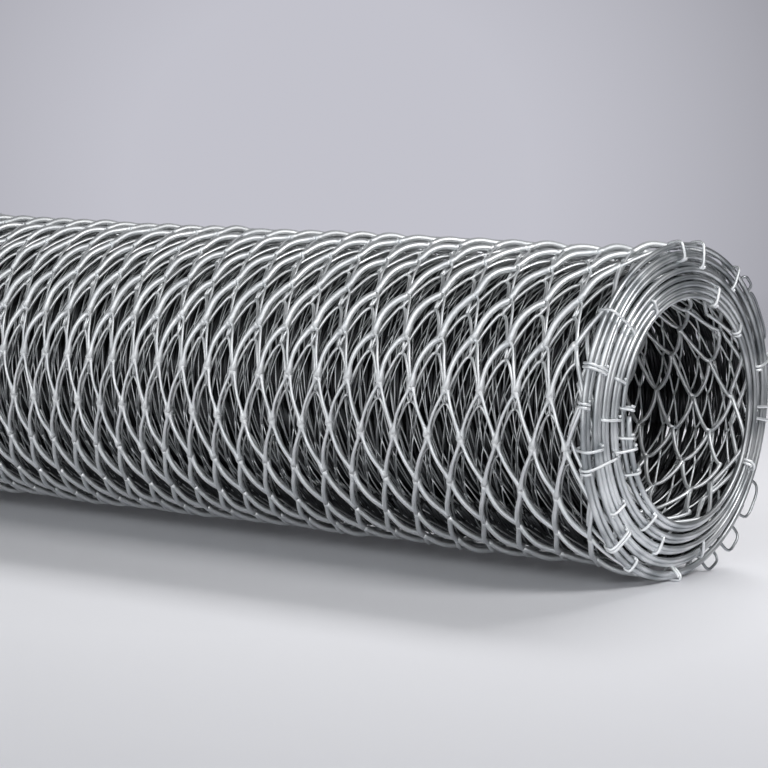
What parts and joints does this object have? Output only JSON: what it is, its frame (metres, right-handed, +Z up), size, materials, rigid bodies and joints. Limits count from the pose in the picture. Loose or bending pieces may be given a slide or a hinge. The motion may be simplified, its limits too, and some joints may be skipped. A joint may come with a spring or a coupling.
{
  "type": "roll of wire netting",
  "caption": "Roll of galvanised hexagonal wire netting for fencing, wound in open turns around an empty bore, with flared ends where the edge wires of the turns show.",
  "frame": {"origin": "on the ground, under the middle of the roll", "axes": "+X along the roll's axis, towards the end where the inner turns stand out; +Z up"},
  "size_m": [0.609, 0.1998, 0.2],
  "materials": {
    "galvanised_wire": "bright zinc coating, lightly dulled"
  },
  "bodies": {
    "root": {"netting_roll": "galvanised_wire"}
  },
  "joints": []
}
